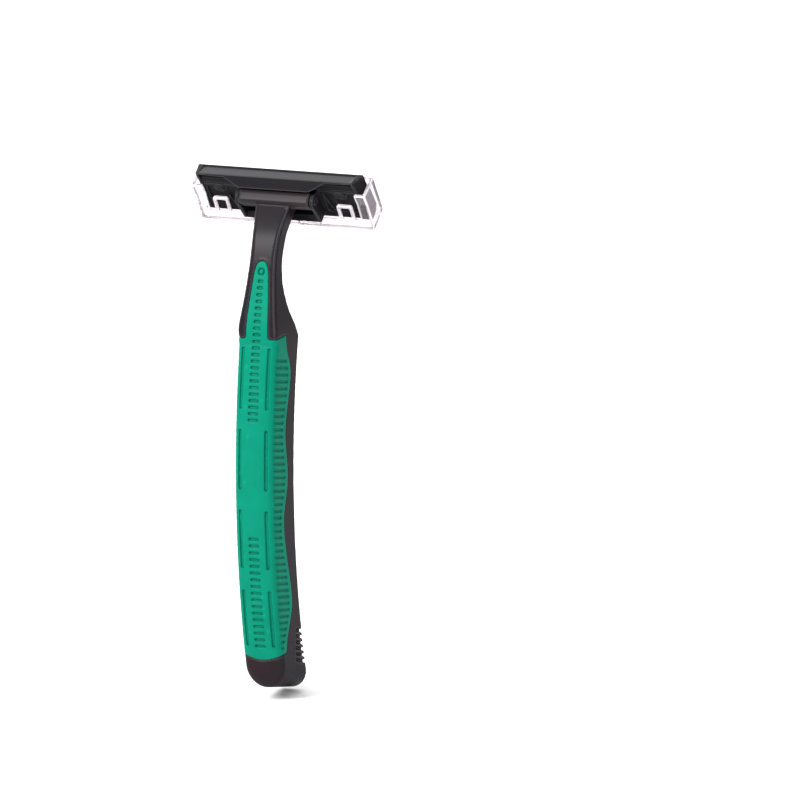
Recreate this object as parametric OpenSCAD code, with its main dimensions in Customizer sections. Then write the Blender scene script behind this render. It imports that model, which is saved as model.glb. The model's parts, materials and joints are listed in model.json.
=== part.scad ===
// Twin-blade razor with an overmoulded grip, a rocking head and a clear snap-on cover.
// Frame: +Z up along the handle, -Y towards the blades, +Y towards the grip, X across the head.
// The origin is the middle of the base of the bounding box.

/* [Handle] */
// Half width of the handle across its side walls
handle_half_w = 5.0; // [4.4:0.1:5.4]
// Height of the shoulder, where the handle turns into the neck
shoulder_z = 85.4; // [84:0.2:87]
// Radius of the arc that the open front rim follows
front_arc_r = 172; // [160:1:190]
// Radius of the arc that the back follows
back_arc_r = 200; // [180:1:230]
// Depth of the handle at the middle of the arcs
handle_depth = 13.1; // [12:0.1:14]
// Thickness of the side walls
side_wall = 1.05; // [0.9:0.05:1.3]
// Thickness of the wall behind the channel, without the grip
back_wall = 1.3; // [1:0.1:1.8]
// Thickness of the long rib and of the cross ribs in the channel
rib_t = 0.9; // [0.7:0.05:1.2]
// Slope of the cut bottom end in degrees
base_slope = 13; // [8:1:16]

/* [Grip] */
// Thickness of the grip on the back of the handle
grip_t = 1.0; // [0.8:0.05:1.2]
// Thickness of the grip on the side walls
grip_side_t = 0.6; // [0.4:0.05:0.8]
// Height of the grip's lower edge
grip_z0 = 11.4; // [9:0.2:13]
// Height of the tip of the tongue on the neck
tongue_z1 = 104.6; // [102:0.1:107]

/* [Head] */
// Width of the head
head_w = 42; // [40:0.5:43]
// Height of the blade face from the seam to the top edge
face_h = 10.5; // [10:0.1:11]
// Lean of the blade face from the vertical in degrees
head_tilt = 38; // [34:1:40]
// Radius of the trunnions that carry the head
trunnion_r = 0.9; // [0.7:0.05:1.0]
// Radial clearance round a trunnion
trunnion_gap = 0.05; // [0.03:0.01:0.09]

/* [Blades] */
// Width of a blade from its back to its cutting edge
blade_w = 7; // [6.5:0.1:7.2]
// Thickness of a blade
blade_t = 0.1; // [0.08:0.01:0.12]
// Length of a blade
blade_len = 38; // [37:0.2:38.2]
// Angle between a blade and the blade face in degrees
blade_angle = 18; // [16:1:20]

/* [Cover] */
// Wall thickness of the cover
cover_t = 0.8; // [0.7:0.05:1.0]
// Gap between the head's ends and the cover
cover_gap = 0.4; // [0.3:0.05:0.6]
// Height of the cover's tabs above its base
cover_tab_h = 7.0; // [6:0.1:7.4]

/* [Hidden] */

eps = 0.01;
// Half width that reaches past every part of the handle
wide = 12;
steps = 8;
arc_mid_z = 44;
back_apex = 13.2;
front_apex = back_apex - handle_depth;

// The blade face's middle, and the head's main levels measured from it.
face_mid = [-11.25, 119.85];
face_top = face_h / 2;
seam_z = -face_h / 2;
half_w = head_w / 2;
bay_half_w = half_w - 1.6;
strip_half_w = 18.8;
strip_t = 0.6;
strip_z0 = face_top - 3.1;
lip_z = 0.6;
platform_y = 3.9;
post_x = 15.3;
post_z = 1.9;
post_r = 0.8;
post_head_r = 1.25;
post_head_t = 0.45;
post_fit = 0.03;

// The trunnion axis, in the handle's frame and in the head's.
pivot = [-5.0, 117.4];
tbar_half_w = 8.9;
pivot_in_head = [
    (pivot[0] - face_mid[0]) * cos(head_tilt) - (pivot[1] - face_mid[1]) * sin(head_tilt),
    (pivot[0] - face_mid[0]) * sin(head_tilt) + (pivot[1] - face_mid[1]) * cos(head_tilt)];
cheek_gap = 0.2;
cheek_t = 0.85;

// Cutting edges, [y, z] in the head's frame.
upper_edge = [0.0, -3.2];
lower_edge = [0.15, -4.95];
edge_lift = [sin(blade_angle), cos(blade_angle)];
blade_normal = [cos(blade_angle), -sin(blade_angle)];
blade_pitch = (lower_edge - upper_edge) * blade_normal;
spacer_setback = 1.6;
spacer_play = 0.02;

// Cover levels in the head's frame.
cover_front_y = -1.7;
cover_base_z = -7.8;
cover_top_z = 2.6;
// Lower edge of the cover's front plate
cover_toe = [-0.6, -9.6];
cover_half_w = half_w + cover_gap + cover_t;

// The middle of the depth, which goes to y = 0.
front_reach = face_mid[0] + cover_toe[0] * cos(head_tilt) + cover_toe[1] * sin(head_tilt);
y_shift = -(front_reach + back_apex) / 2;

// Side outline: depth of the front rim and of the back at a height.
function arc_drop(r, z) = r - sqrt(r * r - (z - arc_mid_z) * (z - arc_mid_z));
function front_y(z) = front_apex - arc_drop(front_arc_r, z);
function back_y(z) = back_apex - arc_drop(back_arc_r, z);

// A smooth curve through points, with the first and last points as its ends.
function pick(p, i) = p[max(0, min(len(p) - 1, i))];
function blend(a, b, c, d, t) =
    0.5 * (2 * b + (c - a) * t + (2 * a - 5 * b + 4 * c - d) * t * t + (3 * b - a - 3 * c + d) * t * t * t);
function smooth(p) = [
    for (i = [0:len(p) - 2]) for (k = [0:steps - 1])
        blend(pick(p, i - 1), p[i], p[i + 1], pick(p, i + 2), k / steps),
    p[len(p) - 1]
];

// Neck curves, [y, z], from the shoulder up to the T-bar.
neck_front = [[front_y(shoulder_z), shoulder_z], [-3.0, 89], [-1.3, 92], [-0.2, 95.5], [0.2, 99],
              [-0.5, 103.5], [-1.7, 106.5], [-3.4, 109.7], [-6.4, 113.6]];
neck_back = [[back_y(shoulder_z), shoulder_z], [8.2, 90.5], [6.8, 95.5], [5.4, 100.5], [4.1, 105],
             [2.3, 109.5], [0.2, 113], [-2.3, 116.2]];
// Half width of the neck, [x, z].
neck_side = [[handle_half_w, shoulder_z - 0.6], [4.75, 88.5], [4.1, 94], [3.5, 99.5], [3.2, 104],
             [3.2, 107.5], [3.45, 111.5], [4.25, 116.2]];

function mirrored(p) = concat(p, [for (i = [len(p) - 1:-1:0]) [-p[i][0], p[i][1]]]);
function shift_y(p, d) = [for (q = p) [q[0] + d, q[1]]];
function arc_points(z0, z1, front) = [
    for (i = [0:24]) let (z = z0 + (z1 - z0) * i / 24) [front ? front_y(z) : back_y(z), z]
];
function reversed(p) = [for (i = [len(p) - 1:-1:0]) p[i]];

// Side view [y, z] of the body, with its back moved in by an inset.
function side_view(inset) = concat(
    arc_points(-2, shoulder_z, true), smooth(neck_front), shift_y(reversed(smooth(neck_back)), -inset),
    shift_y(arc_points(shoulder_z, -2, false), -inset));

module place() {
    translate([0, y_shift, 0]) children();
}

module place_head() {
    place() translate([0, face_mid[0], face_mid[1]]) rotate([-head_tilt, 0, 0]) children();
}

// A [y, z] outline drawn out evenly along X.
module across(half) {
    rotate([90, 0, 90]) translate([0, 0, -half]) linear_extrude(2 * half) children();
}

// An [x, z] outline drawn out along Y from y0 to y1.
module along_y(y0, y1) {
    translate([0, y1, 0]) rotate([90, 0, 0]) linear_extrude(y1 - y0) children();
}

// Rounded base end, seen square to the sloping cut.
module base_outline(r, low) {
    translate([0, low + r]) circle(r, $fn = 64);
    translate([-r, low + r]) square([2 * r, 30]);
    translate([-20, low + r + 25]) square([40, 120]);
}

module base_prism(r, low) {
    translate([0, front_y(0), 0]) rotate([base_slope, 0, 0]) along_y(-10, 40) base_outline(r, low);
}

module body_blank(inset, half) {
    intersection() {
        across(wide) polygon(side_view(inset));
        along_y(-20, 20) polygon(concat([[half, -3]], [[-half, -3]], neck_side_left(half),
            neck_side_right(half)));
        base_prism(half, handle_half_w - half);
    }
}

function narrowed(half) = [for (p = smooth(neck_side)) [p[0] - (handle_half_w - half), p[1]]];
function neck_side_left(half) = [for (p = narrowed(half)) [-p[0], p[1]]];
function neck_side_right(half) = reversed(narrowed(half));

// Wavy front edge of the grip: [height, reach forward from the back].
grip_wave = [[grip_z0, 3.8], [24, 9.2], [42.5, 6.7], [53.5, 9.4], [64.3, 7.9], [77, 10.0],
    [shoulder_z, 6.4]];
function ease(t) = (1 - cos(180 * t)) / 2;
function wave_points() = [
    for (i = [0:len(grip_wave) - 2]) for (k = [0:steps - 1])
        let (a = grip_wave[i], b = grip_wave[i + 1], z = a[0] + (b[0] - a[0]) * k / steps)
        [back_y(z) - a[1] - (b[1] - a[1]) * ease(k / steps), z],
    [back_y(shoulder_z) - grip_wave[len(grip_wave) - 1][1], shoulder_z]
];

// Half width of the tongue that runs up the neck, [x, z].
tongue_side = [[2.75, shoulder_z - 1], [2.68, 90], [2.4, 95], [2.05, 99], [1.75, tongue_z1 - 2.7],
               [1.35, tongue_z1 - 1.1], [0.75, tongue_z1 - 0.25], [0, tongue_z1]];

module grip_zone() {
    difference() {
        across(wide) polygon(concat(wave_points(), [[20, shoulder_z], [20, grip_z0]]));
        intersection() {
            across(wide) polygon(side_view(grip_t));
            translate([-handle_half_w + grip_side_t, -20, -5]) cube([2 * (handle_half_w - grip_side_t),
                40, 130]);
        }
    }
    difference() {
        along_y(2.5, 20) polygon(mirrored(smooth(tongue_side)));
        across(wide) polygon(side_view(grip_t));
    }
}

// The two long bays of the channel, open to the front, with their cross ribs left standing.
cross_rib_z = [19.2, 35.4, 51.8, 68.1];
channel_z1 = 82.6;
rib_setback = 1.2;
module channel() {
    difference() {
        intersection() {
            across(wide) polygon(concat([[-25, -5]],
                shift_y(arc_points(-5, 90, false), -grip_t - back_wall),
                                      [[-25, 90]]));
            translate([0, 0, -10]) along_y(-25, 20)
                square([2 * (handle_half_w - side_wall), 2 * (channel_z1 + 10)], center = true);
            base_prism(handle_half_w - side_wall, side_wall);
        }
        across(rib_t / 2) polygon(concat(shift_y(arc_points(-5, 90, true), 0.5), [[20, 90], [20, -5]]));
        for (z = cross_rib_z)
            intersection() {
                translate([-wide, -25, z - rib_t / 2]) cube([2 * wide, 60, rib_t]);
                across(wide) polygon(concat(shift_y(arc_points(-5, 90, true), rib_setback),
                    [[20, 90], [20, -5]]));
            }
    }
}

// Two grooves in the front of the neck, with round lower ends.
groove_z0 = 84.4;
groove_end_r = 1.6;
neck_wall = 0.85;
module neck_grooves() {
    intersection() {
        across(wide) polygon(concat([[-25, 80]], [for (p = smooth(neck_back)) [p[0] - 2.4, p[1]]],
            [[-25, 117]]));
        for (side = [-1, 1]) intersection() {
            along_y(-25, 20) polygon(concat(
                [for (p = smooth(neck_side)) [side * (p[0] - neck_wall), p[1]]],
                [[side * rib_t / 2, 114], [side * rib_t / 2, shoulder_z - 3]]));
            union() {
                along_y(-25, 20) translate([side * (rib_t / 2 + groove_end_r), groove_z0 + groove_end_r])
                    circle(groove_end_r + 0.12, $fn = 40);
                along_y(-25, 20) translate([-10, groove_z0 + groove_end_r]) square([20,
                    113 - groove_z0 - groove_end_r]);
            }
        }
    }
}

// Finger grooves in both side walls near the base, rising from the front rim.
notch_count = 6;
notch_pitch = 1.54;
notch_len = 7;
notch_rise = 17;
notch_depth = 0.6;
notch_z0 = 7;
module side_notches() {
    for (side = [-1, 1]) for (i = [0:notch_count - 1])
        let (z = notch_z0 + i * notch_pitch)
            translate([side * handle_half_w, front_y(z), z]) rotate([notch_rise, 0, 0])
                translate([0, notch_len / 2 - 1, 0]) cube([2 * notch_depth, notch_len, 0.75],
                    center = true);
}

// T-bar: a bar with a flat back and a round front, on trunnions.
module tbar() {
    across(tbar_half_w) {
        intersection() {
            translate(pivot) circle(2.35, $fn = 64);
            translate(pivot) rotate(28) translate([-3, -1.75]) square([5.05, 3.4]);
        }
    }
    translate([0, pivot[0], pivot[1]]) rotate([0, 90, 0])
        cylinder(r = trunnion_r, h = 2 * (tbar_half_w + cheek_gap + cheek_t - 0.2), center = true,
            $fn = 48);
    // Web that joins the neck to the bar.
    across(4.1) polygon([[-6.2, 113.4], [-6.6, 116.2], [pivot[0], pivot[1]], [-2.5, 116.4], [-0.3, 113.3]]);
}

module handle() {
    color([0.05, 0.05, 0.055]) place() {
        difference() {
            union() {
                body_blank(0, handle_half_w);
                tbar();
            }
            grip_zone();
            channel();
            neck_grooves();
            side_notches();
        }
    }
}

module grip() {
    color([0.0, 0.62, 0.47]) place() intersection() {
        body_blank(0, handle_half_w);
        grip_zone();
    }
}

// Seat of the lower blade, [y, z] points along its underside.
function seat_at(s) = lower_edge + s * edge_lift + (blade_t + spacer_play) * blade_normal;

module post_holes(r, y0, y1) {
    for (side = [-1, 1]) translate([side * post_x, 0, post_z]) along_y(y0, y1) circle(r, $fn = 40);
}

module cradle_side_view() {
    translate(pivot_in_head) circle(1.85, $fn = 48);
    polygon([[platform_y - 0.3, -4.6], [platform_y - 0.3, 3.0], [6.3, 3.7], [8.2, 1.9], [7.8, -0.6],
        [7.2, -4.6]]);
}

module guard_frame() {
    color([0.055, 0.055, 0.06]) place_head() difference() {
        union() {
            // Blade seat between the end walls.
            across(bay_half_w - 0.1) polygon([
                seat_at(1.3), seat_at(blade_w), [3.0, 3.0], [platform_y, 3.0], [platform_y, seam_z - 0.1],
                [0.9, seam_z - 0.1]]);
            // Guard across the whole width, below the seam.
            across(half_w) polygon([
                [0.75, seam_z - 0.1], [0.75, seam_z - 0.75], [3.6, -6.4], [platform_y, -6.0],
                    [platform_y, seam_z - 0.1]]);
            for (side = [-1, 1]) translate([side * (half_w - 0.8), 0, 0]) across(0.8)
                polygon([[0.15, seam_z - 0.1], [0.9, -6.2], [3.6, -6.4], [platform_y, -6.0],
                    [platform_y, seam_z - 0.1]]);
            // Cradle: two cheeks and the shelf below the T-bar.
            for (side = [-1, 1]) translate([side * (tbar_half_w + cheek_gap + cheek_t / 2), 0, 0])
                across(cheek_t / 2) cradle_side_view();
            across(tbar_half_w + cheek_gap + eps) polygon([
                [platform_y - 0.3, -3.2], [6.4, -3.2], [7.3, -4.4], [6.6, -4.8], [platform_y - 0.3, -4.8]]);
        }
        post_holes(post_r + post_fit, -1, 6);
        translate([0, pivot_in_head[0], pivot_in_head[1]]) rotate([0, 90, 0])
            cylinder(r = trunnion_r + trunnion_gap, h = 30, center = true, $fn = 48);
        // Bevelled lower corners.
        for (side = [-1, 1]) along_y(-1, 6)
            polygon([[side * (half_w + eps), -5.4], [side * (half_w - 1.3), -6.7],
                [side * (half_w + eps), -6.7]]);
    }
}

module guard_strip() {
    color([0.09, 0.09, 0.1]) place_head() across(half_w - 1.9) polygon([
        [0.0, seam_z - 0.1], [0.1, -5.75], [0.5, -6.2], [1.2, -6.5], [3.5, -6.6], [3.6, -6.4],
            [0.75, seam_z - 0.75],
        [0.75, seam_z - 0.1]]);
}

module cap() {
    color([0.06, 0.06, 0.065]) place_head() {
        difference() {
            union() {
                // Top bar with the lip that holds the upper blade down.
                across(half_w) polygon([
                    [0, face_top], [0, lip_z], upper_front(lip_z), upper_front(3.6), [3.2, 3.6], [4.0, 3.4],
                    [3.6, face_top - 0.3]]);
                // End walls down to the seam.
                for (side = [-1, 1]) translate([side * (half_w + bay_half_w) / 2, 0, 0])
                    across((half_w - bay_half_w) / 2) polygon([
                        [0, face_top], [0, seam_z], [platform_y, seam_z], [4.0, 3.4], [4.5, 6.6],
                            [4.1, 6.95]]);
                hood();
            }
            translate([-strip_half_w, -eps, strip_z0]) cube([2 * strip_half_w, strip_t,
                face_top - strip_z0 - 0.35]);
            lip_notches();
            // Slanted ends.
            for (side = [-1, 1]) translate([0, 0, -10]) linear_extrude(20)
                polygon([[side * half_w, 0.4], [side * (half_w - end_slant * 7.6), 8],
                    [side * (half_w + 1), 8]]);
        }
        post_holes(post_r, 1.0, platform_y + post_head_t);
        post_holes(post_head_r, platform_y + 0.02, platform_y + post_head_t);
    }
}

// A point on the upper blade's front face, a given z above the face's middle.
function upper_front(z) = [upper_edge[0] + (z - upper_edge[1]) * tan(blade_angle) - spacer_play, z];

// Hood: a thin shell from the top edge back over the T-bar, deeper in its middle.
hood_half_w = 20;
end_slant = 0.25;
module hood() {
    difference() {
        across(hood_half_w) polygon([
            [0.5, face_top - 0.1], [4.3, 7.1], [6.3, 5.1], [5.8, 4.7], [4.1, 6.3], [3.0, 5.6], [2.6, 4.0],
                [0.7, 4.0]]);
        along_y(4.25, 9) polygon([
            [-20, 0], [-20, 6.75], [-12.8, 6.6], [-8.6, 4.9], [8.6, 4.9], [12.8, 6.6], [20, 6.75],
                [20, 0]]);
    }
}

// Small gaps in the lip that show the blade.
lip_notch_count = 7;
module lip_notches() {
    for (i = [0:lip_notch_count - 1])
        translate([(i - (lip_notch_count - 1) / 2) * 5.2, 0, lip_z]) cube([1.9, 1.0, 0.9], center = true);
}

module lubricating_strip() {
    color([0.0, 0.82, 0.76]) place_head()
        translate([-strip_half_w + 0.05, -0.15, strip_z0 + 0.05])
            cube([2 * strip_half_w - 0.1, strip_t + 0.1, face_top - strip_z0 - 0.45]);
}

// A flat strip whose cutting edge is at edge, as [y, z], square across X.
module blade_strip(edge, width, thickness, setback, half) {
    a = edge + setback * edge_lift;
    b = edge + width * edge_lift;
    difference() {
        across(half) polygon([a, b, b + thickness * blade_normal,
            a + thickness * blade_normal + 0.3 * edge_lift]);
        post_holes(post_r + post_fit, -1, 6);
    }
}

module upper_blade() {
    color([0.8, 0.81, 0.83]) place_head() blade_strip(upper_edge, blade_w, blade_t, 0, blade_len / 2);
}

module blade_spacer() {
    color([0.35, 0.36, 0.38]) place_head()
        blade_strip(upper_edge + (blade_t + spacer_play) * blade_normal, blade_w - 0.2,
                    blade_pitch - blade_t - 2 * spacer_play, spacer_setback, blade_len / 2 - 0.3);
}

module lower_blade() {
    color([0.8, 0.81, 0.83]) place_head() blade_strip(lower_edge, blade_w, blade_t, 0, blade_len / 2);
}

// Side view of the cover's outside, [y, z]. Its back leans out towards the base.
cover_back_y = 4.9;
cover_heel = [6.0, cover_base_z];
cover_lean = (cover_toe[0] - cover_front_y) / (cover_toe[1] - cover_top_z);
cover_side = [
    [cover_front_y, cover_top_z], [cover_back_y, cover_top_z + 0.4], [cover_back_y, 0], cover_heel,
        cover_toe];
cover_cavity = [
    [cover_front_y + cover_t + cover_lean * (10 - cover_top_z), 10], [cover_back_y - cover_t, 10],
    [cover_back_y - cover_t, 0], cover_heel + [-cover_t, cover_t - 0.2], cover_toe + [cover_t, cover_t]];

// Outline along the head, [x, z], with its lower corners cut off.
corner_cut = 2.0;
module cover_outline(inset, top) {
    half = cover_half_w - inset;
    low = cover_toe[1] + inset;
    cut = corner_cut - 0.6 * inset;
    polygon([[-half, top], [-half, low + cut], [-half + cut, low], [half - cut, low], [half, low + cut],
        [half, top]]);
}

// Right half of the opening in the back wall, [x, z]: notch for the neck, low wall, snap tab and end flange.
tab_x = 15.8;
tab_half_w = 2.0;
flange_w = 2.9;
low_wall_z = -5.05;
tab_top_z = cover_base_z + cover_tab_h;
back_opening = [
    [0, low_wall_z], [2.8, low_wall_z], [2.8, low_wall_z - 1.9], [9.0, low_wall_z - 1.9], [9.0, low_wall_z],
    [tab_x - tab_half_w, low_wall_z], [tab_x - tab_half_w, tab_top_z], [tab_x + tab_half_w, tab_top_z],
    [tab_x + tab_half_w, low_wall_z], [cover_half_w - flange_w, low_wall_z], [cover_half_w - flange_w, 12]];

module cover() {
    color([0.92, 0.88, 0.92, 0.35]) place_head() difference() {
        intersection() {
            across(cover_half_w) polygon(cover_side);
            along_y(-5, 9) cover_outline(0, 9);
        }
        intersection() {
            across(cover_half_w - cover_t) polygon(cover_cavity);
            along_y(-5, 9) cover_outline(cover_t, 11);
        }
        along_y(2.5, 9) polygon(mirrored(back_opening));
        // Windows in the tabs.
        for (side = [-1, 1]) translate([side * tab_x - 1.2, 3, low_wall_z + 0.2])
            cube([2.4, 4, tab_top_z - low_wall_z - 1.0]);
    }
}

handle();
grip();
guard_frame();
guard_strip();
cap();
lubricating_strip();
upper_blade();
blade_spacer();
lower_blade();
cover();
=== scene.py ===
"""Twin-blade razor: the detailed visible pieces, materials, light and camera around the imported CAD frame.

Shapes are written as signed distance fields in millimetres (negative inside) and meshed by a surface net.
The handle and grip use the upright frame of the whole razor. The head and cover use the head's own frame,
where y = 0 is the blade face, -y points out of it and z runs up along it.
"""

import json
import math

import bmesh
import bpy
import numpy as np
from mathutils import Matrix, Vector


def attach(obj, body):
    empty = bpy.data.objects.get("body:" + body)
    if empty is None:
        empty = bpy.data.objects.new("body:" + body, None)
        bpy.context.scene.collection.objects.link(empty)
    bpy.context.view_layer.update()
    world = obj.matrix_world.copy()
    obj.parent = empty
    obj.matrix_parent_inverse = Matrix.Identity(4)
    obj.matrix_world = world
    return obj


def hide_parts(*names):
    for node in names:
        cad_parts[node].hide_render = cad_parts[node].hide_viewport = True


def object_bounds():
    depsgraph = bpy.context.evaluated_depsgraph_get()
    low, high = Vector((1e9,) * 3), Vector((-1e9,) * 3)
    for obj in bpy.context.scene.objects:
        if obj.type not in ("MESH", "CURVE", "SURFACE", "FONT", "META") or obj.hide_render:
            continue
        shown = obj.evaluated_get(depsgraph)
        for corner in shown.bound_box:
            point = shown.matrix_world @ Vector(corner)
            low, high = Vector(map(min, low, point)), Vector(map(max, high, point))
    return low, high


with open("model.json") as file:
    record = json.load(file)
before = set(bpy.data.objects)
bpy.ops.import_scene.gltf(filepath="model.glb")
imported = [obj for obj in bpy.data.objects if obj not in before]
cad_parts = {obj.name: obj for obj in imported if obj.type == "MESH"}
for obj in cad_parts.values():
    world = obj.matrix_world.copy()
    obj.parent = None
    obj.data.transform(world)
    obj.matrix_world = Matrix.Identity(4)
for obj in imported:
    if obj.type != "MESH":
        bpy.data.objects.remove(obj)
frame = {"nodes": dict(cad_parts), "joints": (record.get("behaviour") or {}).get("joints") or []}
cad_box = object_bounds()

MM = 0.001
FINE = 1.0

# ---------------------------------------------------------------- places taken from the frame
joints = {j["name"]: j for j in frame["joints"]}
PIVOT = Vector(joints["head_pivot"]["pos_m"]) / MM
HEAD_TILT = math.atan2(-joints["cover_slide"]["axis"][1], -joints["cover_slide"]["axis"][2])
Y0 = PIVOT.y + 5.0          # y of the plane that the side curves are measured from
HEAD_MID = Vector((0, Y0 - 11.25, 119.85))   # middle of the blade face
HEAD_FRAME = Matrix.Translation(HEAD_MID * MM) @ Matrix.Rotation(-HEAD_TILT, 4, "X")

SHOULDER_Z = 85.4
ARC_Z = 44.0
FRONT_R, BACK_R = 172.0, 200.0
BACK_APEX, FRONT_APEX = 13.2, 0.1
HALF_W = 5.0
SIDE_WALL = 1.05
RIB = 0.45                  # half thickness of a rib
BASE_SLOPE = math.radians(13)
CROSS_RIBS = (19.2, 35.4, 51.8, 68.1)
CHANNEL_TOP = 82.6
GRIP_T, GRIP_TOP = 0.62, 86.8
GRIP_BOTTOM, TONGUE_TOP = 11.7, 104.6
CROWN = 0.8                 # how far the middle of the back stands above its sides
GATE_Z = 9.4                # round blob on the middle rib of the channel
NOTCHES, NOTCH_LOW, NOTCH_PITCH, NOTCH_RISE = 6, 7.0, 1.54, math.radians(17)
BAR_LEAN = math.radians(28)
# lowest rung, pitch, count, half width of the lowest and of the highest
UPPER_LADDER, LOWER_LADDER = (68.2, 1.515, 22, 1.3, 0.65), (13.7, 1.644, 17, 1.3, 1.22)
RING_Z, RING_R = 102.2, 0.68
LONG_GROOVES = ((70.6, 84.9), (51.6, 65.9), (32.7, 46.9), (13.6, 27.5))     # low and high ends
LONG_GROOVE_X = 3.3
RIDGES, RIDGE_LOW, RIDGE_PITCH, RIDGE_LEAN = 44, 13.6, 1.6, 0.22

NECK_FRONT = [(-4.94, 85.4), (-3.0, 89), (-1.3, 92), (-0.2, 95.5), (0.2, 99), (-0.5, 103.5), (-1.7, 106.5),
              (-3.4, 109.7), (-6.4, 113.6), (-8.2, 116.0)]
NECK_BACK = [(8.95, 85.4), (8.2, 90.5), (6.8, 95.5), (5.4, 100.5), (4.1, 105), (2.3, 109.5), (0.2, 113),
             (-2.3, 116.2), (-4.2, 118.4)]
NECK_SIDE = [(5.0, 84.8), (4.8, 88.5), (4.1, 94), (3.5, 99.5), (3.2, 104), (3.2, 107.5), (3.45, 111.5),
             (4.25, 116.2), (4.6, 118)]
TONGUE = [(2.75, 84.4), (2.68, 90), (2.4, 95), (2.05, 99), (1.75, 101.9), (1.35, 103.5), (0.75, 104.35),
          (0, 104.6)]
GRIP_WAVE = [(3.6, 11.0), (9.2, 24), (6.7, 42.5), (9.4, 53.5), (7.9, 64.3), (10.0, 77), (6.4, 86)]


# ---------------------------------------------------------------- distance fields and meshes
def grid(lo, hi, step):
    """Open sample axes from lo to hi, in mm, that broadcast to a block."""
    x, y, z = (np.arange(a, b + step, step, dtype=np.float32) for a, b in zip(lo, hi))
    return x[:, None, None], y[None, :, None], z[None, None, :]


def both(*fields):
    """Intersection."""
    out = fields[0]
    for f in fields[1:]:
        out = np.maximum(out, f)
    return out


def either(*fields):
    """Union."""
    out = fields[0]
    for f in fields[1:]:
        out = np.minimum(out, f)
    return out


def both_round(a, b, r):
    """Intersection whose edge is rounded by radius r."""
    u, v = np.maximum(a + r, 0), np.maximum(b + r, 0)
    return np.minimum(np.maximum(a, b), -r) + np.sqrt(u * u + v * v)


def either_round(a, b, r):
    """Union whose inner corner is filled with radius r."""
    return -both_round(-a, -b, r)


def cut(a, b, r=0.12):
    """a without b, with a softened edge."""
    return both_round(a, -b, r)


def outline(points, u, v):
    """Signed distance to a closed outline of points, over the plane of u and v."""
    u, v = np.broadcast_arrays(np.asarray(u, np.float32), np.asarray(v, np.float32))
    d2 = np.full(u.shape, 1e9, np.float32)
    inside = np.zeros(u.shape, bool)
    for (ax, ay), (bx, by) in zip(points, points[1:] + points[:1]):
        ex, ey = bx - ax, by - ay
        t = np.clip(((u - ax) * ex + (v - ay) * ey) / (ex * ex + ey * ey), 0, 1)
        d2 = np.minimum(d2, (u - ax - t * ex) ** 2 + (v - ay - t * ey) ** 2)
        if ey:
            inside ^= ((ay > v) != (by > v)) & (u < ex * (v - ay) / ey + ax)
    return np.where(inside, -np.sqrt(d2), np.sqrt(d2))


def smooth_curve(points, z):
    """The depth or width at heights z of a Catmull-Rom curve through (value, height) points."""
    p = [points[0]] + list(points) + [points[-1]]
    t = np.linspace(0, 1, 16, endpoint=False)[:, None]
    rows = []
    for a, b, c, d in zip(p, p[1:], p[2:], p[3:]):
        a, b, c, d = (np.array(q, float) for q in (a, b, c, d))
        rows.append(0.5 * (2 * b + (c - a) * t + (2 * a - 5 * b + 4 * c - d) * t**2
                           + (3 * b - a - 3 * c + d) * t**3))
    rows = np.vstack(rows + [np.array([points[-1]], float)])
    return np.interp(z, rows[:, 1], rows[:, 0]).astype(np.float32)


def eased(points, z):
    """Cosine steps between (value, height) points."""
    heights = [p[1] for p in points]
    i = np.clip(np.searchsorted(heights, z) - 1, 0, len(points) - 2)
    values = np.array([p[0] for p in points])
    heights = np.array(heights)
    t = np.clip((z - heights[i]) / (heights[i + 1] - heights[i]), 0, 1)
    return (values[i] + (values[i + 1] - values[i]) * (1 - np.cos(np.pi * t)) / 2).astype(np.float32)


def ramp(z, a, b):
    """0 before a, 1 after b, smooth between."""
    t = np.clip((z - a) / (b - a), 0, 1)
    return t * t * (3 - 2 * t)


CORNERS = [(i, j, k) for i in (0, 1) for j in (0, 1) for k in (0, 1)]
EDGES = [(a, b) for a in range(8) for b in range(a + 1, 8)
         if sum(abs(p - q) for p, q in zip(CORNERS[a], CORNERS[b])) == 1]


def surface_net(field, lo, step):
    """Vertices and quads of the surface where the field crosses zero."""
    inside = field < 0
    core = [slice(None, -1), slice(1, None)]
    count = sum(inside[core[i], core[j], core[k]].astype(np.uint8) for i, j, k in CORNERS)
    active = (count > 0) & (count < 8)
    cells = np.argwhere(active)
    number = np.full(active.shape, -1, np.int32)
    number[active] = np.arange(len(cells), dtype=np.int32)
    value = np.stack([field[cells[:, 0] + i, cells[:, 1] + j, cells[:, 2] + k] for i, j, k in CORNERS], 1)
    total, hits = np.zeros((len(cells), 3)), np.zeros(len(cells))
    for a, b in EDGES:
        va, vb = value[:, a], value[:, b]
        crossed = (va < 0) != (vb < 0)
        t = np.where(crossed, va / np.where(crossed, va - vb, 1), 0)
        point = np.array(CORNERS[a]) + t[:, None] * (np.array(CORNERS[b]) - np.array(CORNERS[a]))
        total += point * crossed[:, None]
        hits += crossed
    verts = np.array(lo) + (cells + total / hits[:, None]) * step
    quads = []
    for d in range(3):
        u, v = (d + 1) % 3, (d + 2) % 3
        near = [slice(1, -1)] * 3
        far = [slice(1, -1)] * 3
        near[d], far[d] = slice(None, -1), slice(1, None)
        first, second = inside[tuple(near)], inside[tuple(far)]
        edge = np.argwhere(first != second)
        outward = first[tuple(edge.T)]
        edge[:, u] += 1
        edge[:, v] += 1
        du, dv = np.eye(3, dtype=int)[u], np.eye(3, dtype=int)[v]
        ring = np.stack([number[tuple((edge - s).T)] for s in (du + dv, dv, 0 * du, du)], 1)
        ring[~outward] = ring[~outward][:, ::-1]
        quads.append(ring)
    return verts, np.vstack(quads)


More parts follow.
